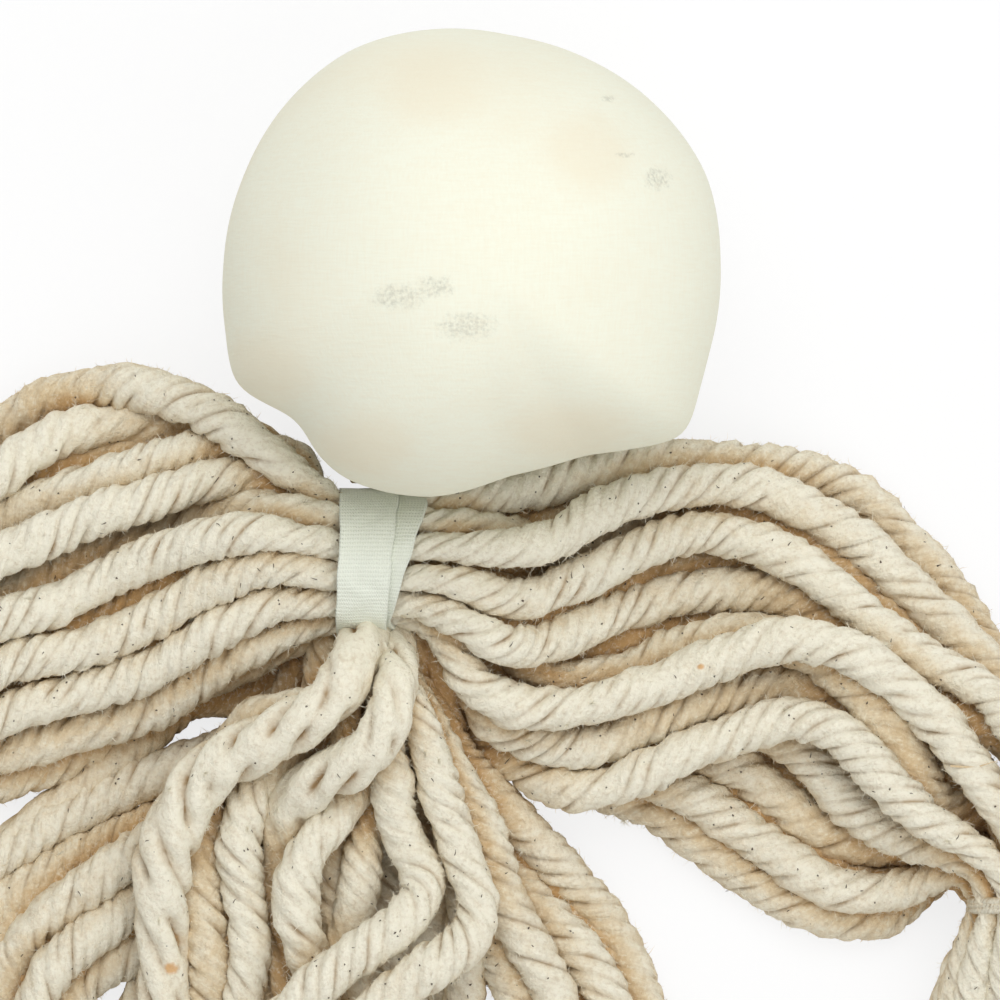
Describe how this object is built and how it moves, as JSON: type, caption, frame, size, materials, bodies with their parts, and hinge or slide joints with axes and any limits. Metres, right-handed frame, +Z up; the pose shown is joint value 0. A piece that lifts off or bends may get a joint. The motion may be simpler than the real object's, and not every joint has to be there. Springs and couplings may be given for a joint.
{
  "type": "yarn doll",
  "caption": "Handmade doll of cotton mop yarn with a stuffed muslin ball head, tape-bound shoulders, arms tied at the wrists and a long loose skirt.",
  "frame": {"origin": "on the flat underside of the neck tape, on the surface the doll lies on, face down", "axes": "+X toward the right arm as seen from behind, +Y toward the top of the head, +Z up out of the back"},
  "size_m": [0.2287, 0.3452, 0.074],
  "materials": {
    "yarn": "matte",
    "muslin": "matte",
    "tape": "matte",
    "wadding": "matte"
  },
  "bodies": {
    "torso": {"shoulder_yarn": "yarn", "neck_tape_under": "tape", "neck_tape_over": "tape", "waist_yarn": "yarn", "waist_tie": "yarn"},
    "head": {"head_cover": "muslin", "head_stuffing": "wadding", "neck_thread": "yarn"},
    "right_arm": {"right_arm_under_yarns": "yarn", "right_wrist_tie": "yarn", "right_arm_yarn_1": "yarn", "right_arm_yarn_2": "yarn", "right_arm_yarn_3": "yarn", "right_arm_yarn_4": "yarn", "right_arm_yarn_5": "yarn", "right_arm_yarn_6": "yarn", "right_arm_yarn_7": "yarn", "right_arm_yarn_8": "yarn", "right_arm_yarn_9": "yarn", "right_arm_yarn_10": "yarn", "right_arm_yarn_11": "yarn", "right_arm_yarn_12": "yarn", "right_arm_yarn_13": "yarn"},
    "left_arm": {"left_arm_under_yarns": "yarn", "left_wrist_tie": "yarn", "left_arm_yarn_1": "yarn", "left_arm_yarn_2": "yarn", "left_arm_yarn_3": "yarn", "left_arm_yarn_4": "yarn", "left_arm_yarn_5": "yarn", "left_arm_yarn_6": "yarn", "left_arm_yarn_7": "yarn", "left_arm_yarn_8": "yarn", "left_arm_yarn_9": "yarn", "left_arm_yarn_10": "yarn", "left_arm_yarn_11": "yarn", "left_arm_yarn_12": "yarn"},
    "right_hand": {"right_hand_yarns": "yarn"},
    "left_hand": {"left_hand_yarns": "yarn"},
    "skirt": {"skirt_under_yarns": "yarn", "tie_end_left": "yarn", "tie_end_right": "yarn", "skirt_yarn_1": "yarn", "skirt_yarn_2": "yarn", "skirt_yarn_3": "yarn", "skirt_yarn_4": "yarn", "skirt_yarn_5": "yarn", "skirt_yarn_6": "yarn", "skirt_yarn_7": "yarn", "skirt_yarn_8": "yarn", "skirt_yarn_9": "yarn", "skirt_yarn_10": "yarn", "skirt_yarn_11": "yarn", "skirt_yarn_12": "yarn", "skirt_yarn_13": "yarn", "skirt_yarn_14": "yarn"}
  },
  "joints": [
    {"name": "head_nod", "type": "hinge", "parent": "torso", "child": "head", "pos_m": [0.0015, 0.0112, 0.03], "axis": [1, 0, 0], "range_deg": [0, 15]},
    {"name": "right_arm_lift", "type": "hinge", "parent": "torso", "child": "right_arm", "pos_m": [0.0075, 0, 0.029], "axis": [0, -1, 0], "range_deg": [0, 25]},
    {"name": "left_arm_lift", "type": "hinge", "parent": "torso", "child": "left_arm", "pos_m": [-0.0075, 0, 0.029], "axis": [0, 1, 0], "range_deg": [0, 25]},
    {"name": "right_hand_lift", "type": "hinge", "parent": "right_arm", "child": "right_hand", "pos_m": [0.0983, -0.0541, 0.0235], "axis": [-1, 0, 0], "range_deg": [0, 40]},
    {"name": "left_hand_lift", "type": "hinge", "parent": "left_arm", "child": "left_hand", "pos_m": [-0.0893, -0.0506, 0.0235], "axis": [-1, 0, 0], "range_deg": [0, 40]},
    {"name": "skirt_lift", "type": "hinge", "parent": "torso", "child": "skirt", "pos_m": [0, -0.0188, 0.0295], "axis": [-1, 0, 0], "range_deg": [0, 30]}
  ]
}
